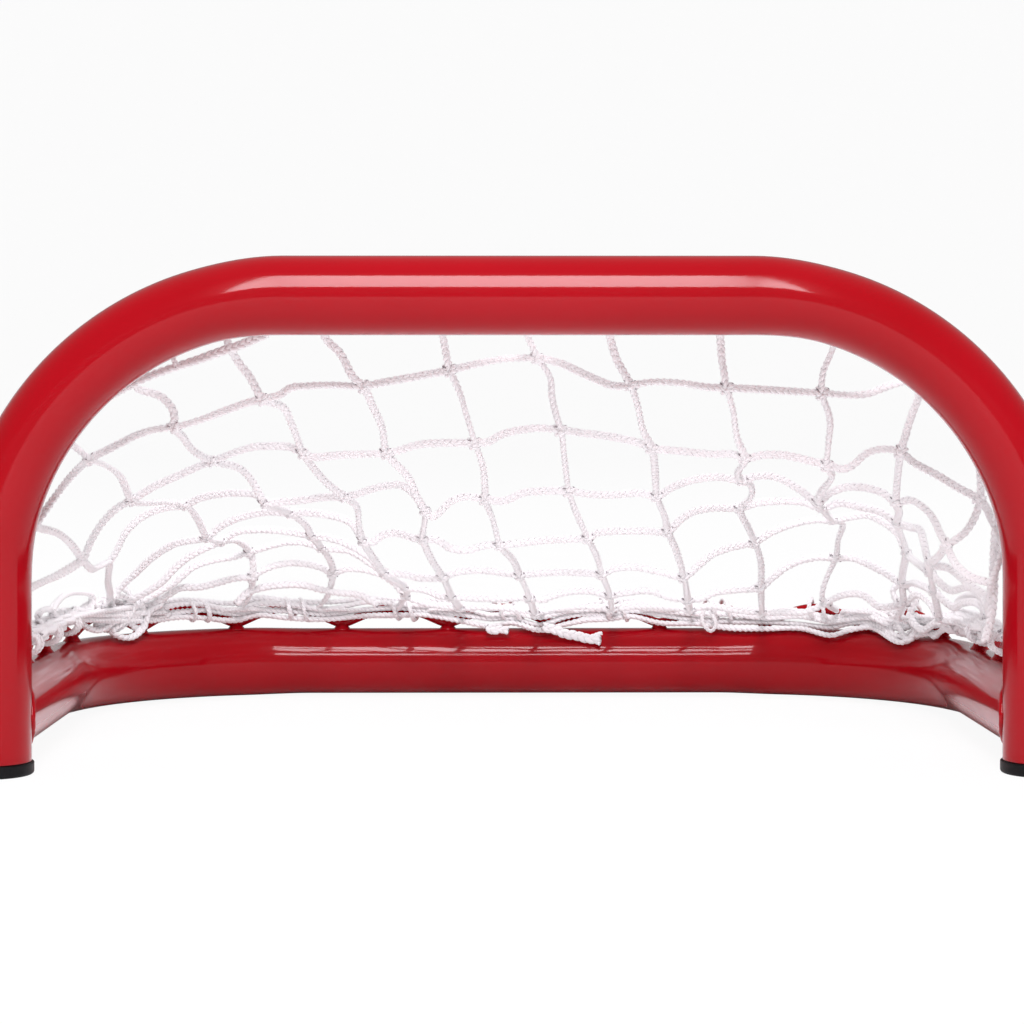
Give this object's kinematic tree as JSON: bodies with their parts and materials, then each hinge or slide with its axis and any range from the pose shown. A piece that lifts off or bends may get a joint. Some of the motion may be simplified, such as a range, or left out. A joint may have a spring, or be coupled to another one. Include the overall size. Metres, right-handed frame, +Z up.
{
  "type": "mini hockey goal",
  "caption": "Small free-standing street and indoor hockey goal: bent round-tube arch and U base in gloss red, wavy lacing rods, black leg caps and a laced white knitted net.",
  "frame": {"origin": "on the floor, below the middle of the goal's bounding box", "axes": "+X runs to the right across the goal mouth as seen from the front, +Y runs from the mouth to the back of the goal, +Z is up"},
  "size_m": [0.456, 0.2954, 0.2077],
  "materials": {
    "frame_paint": "gloss red paint over steel tube",
    "rod_paint": "gloss red paint over bent round rod",
    "cap_plastic": "satin black moulded plastic",
    "net_cord": "white knitted cord, soft",
    "lacing_cord": "white knitted cord, soft"
  },
  "bodies": {
    "root": {"front_arch": "frame_paint", "base_tube": "frame_paint", "base_weld_left": "frame_paint", "base_weld_right": "frame_paint", "arch_lacing_rod": "rod_paint", "base_lacing_rod": "rod_paint", "leg_cap_left": "cap_plastic", "leg_cap_right": "cap_plastic", "net": "net_cord", "arch_lacing_cord": "lacing_cord", "base_lacing_cord": "lacing_cord"}
  },
  "joints": []
}
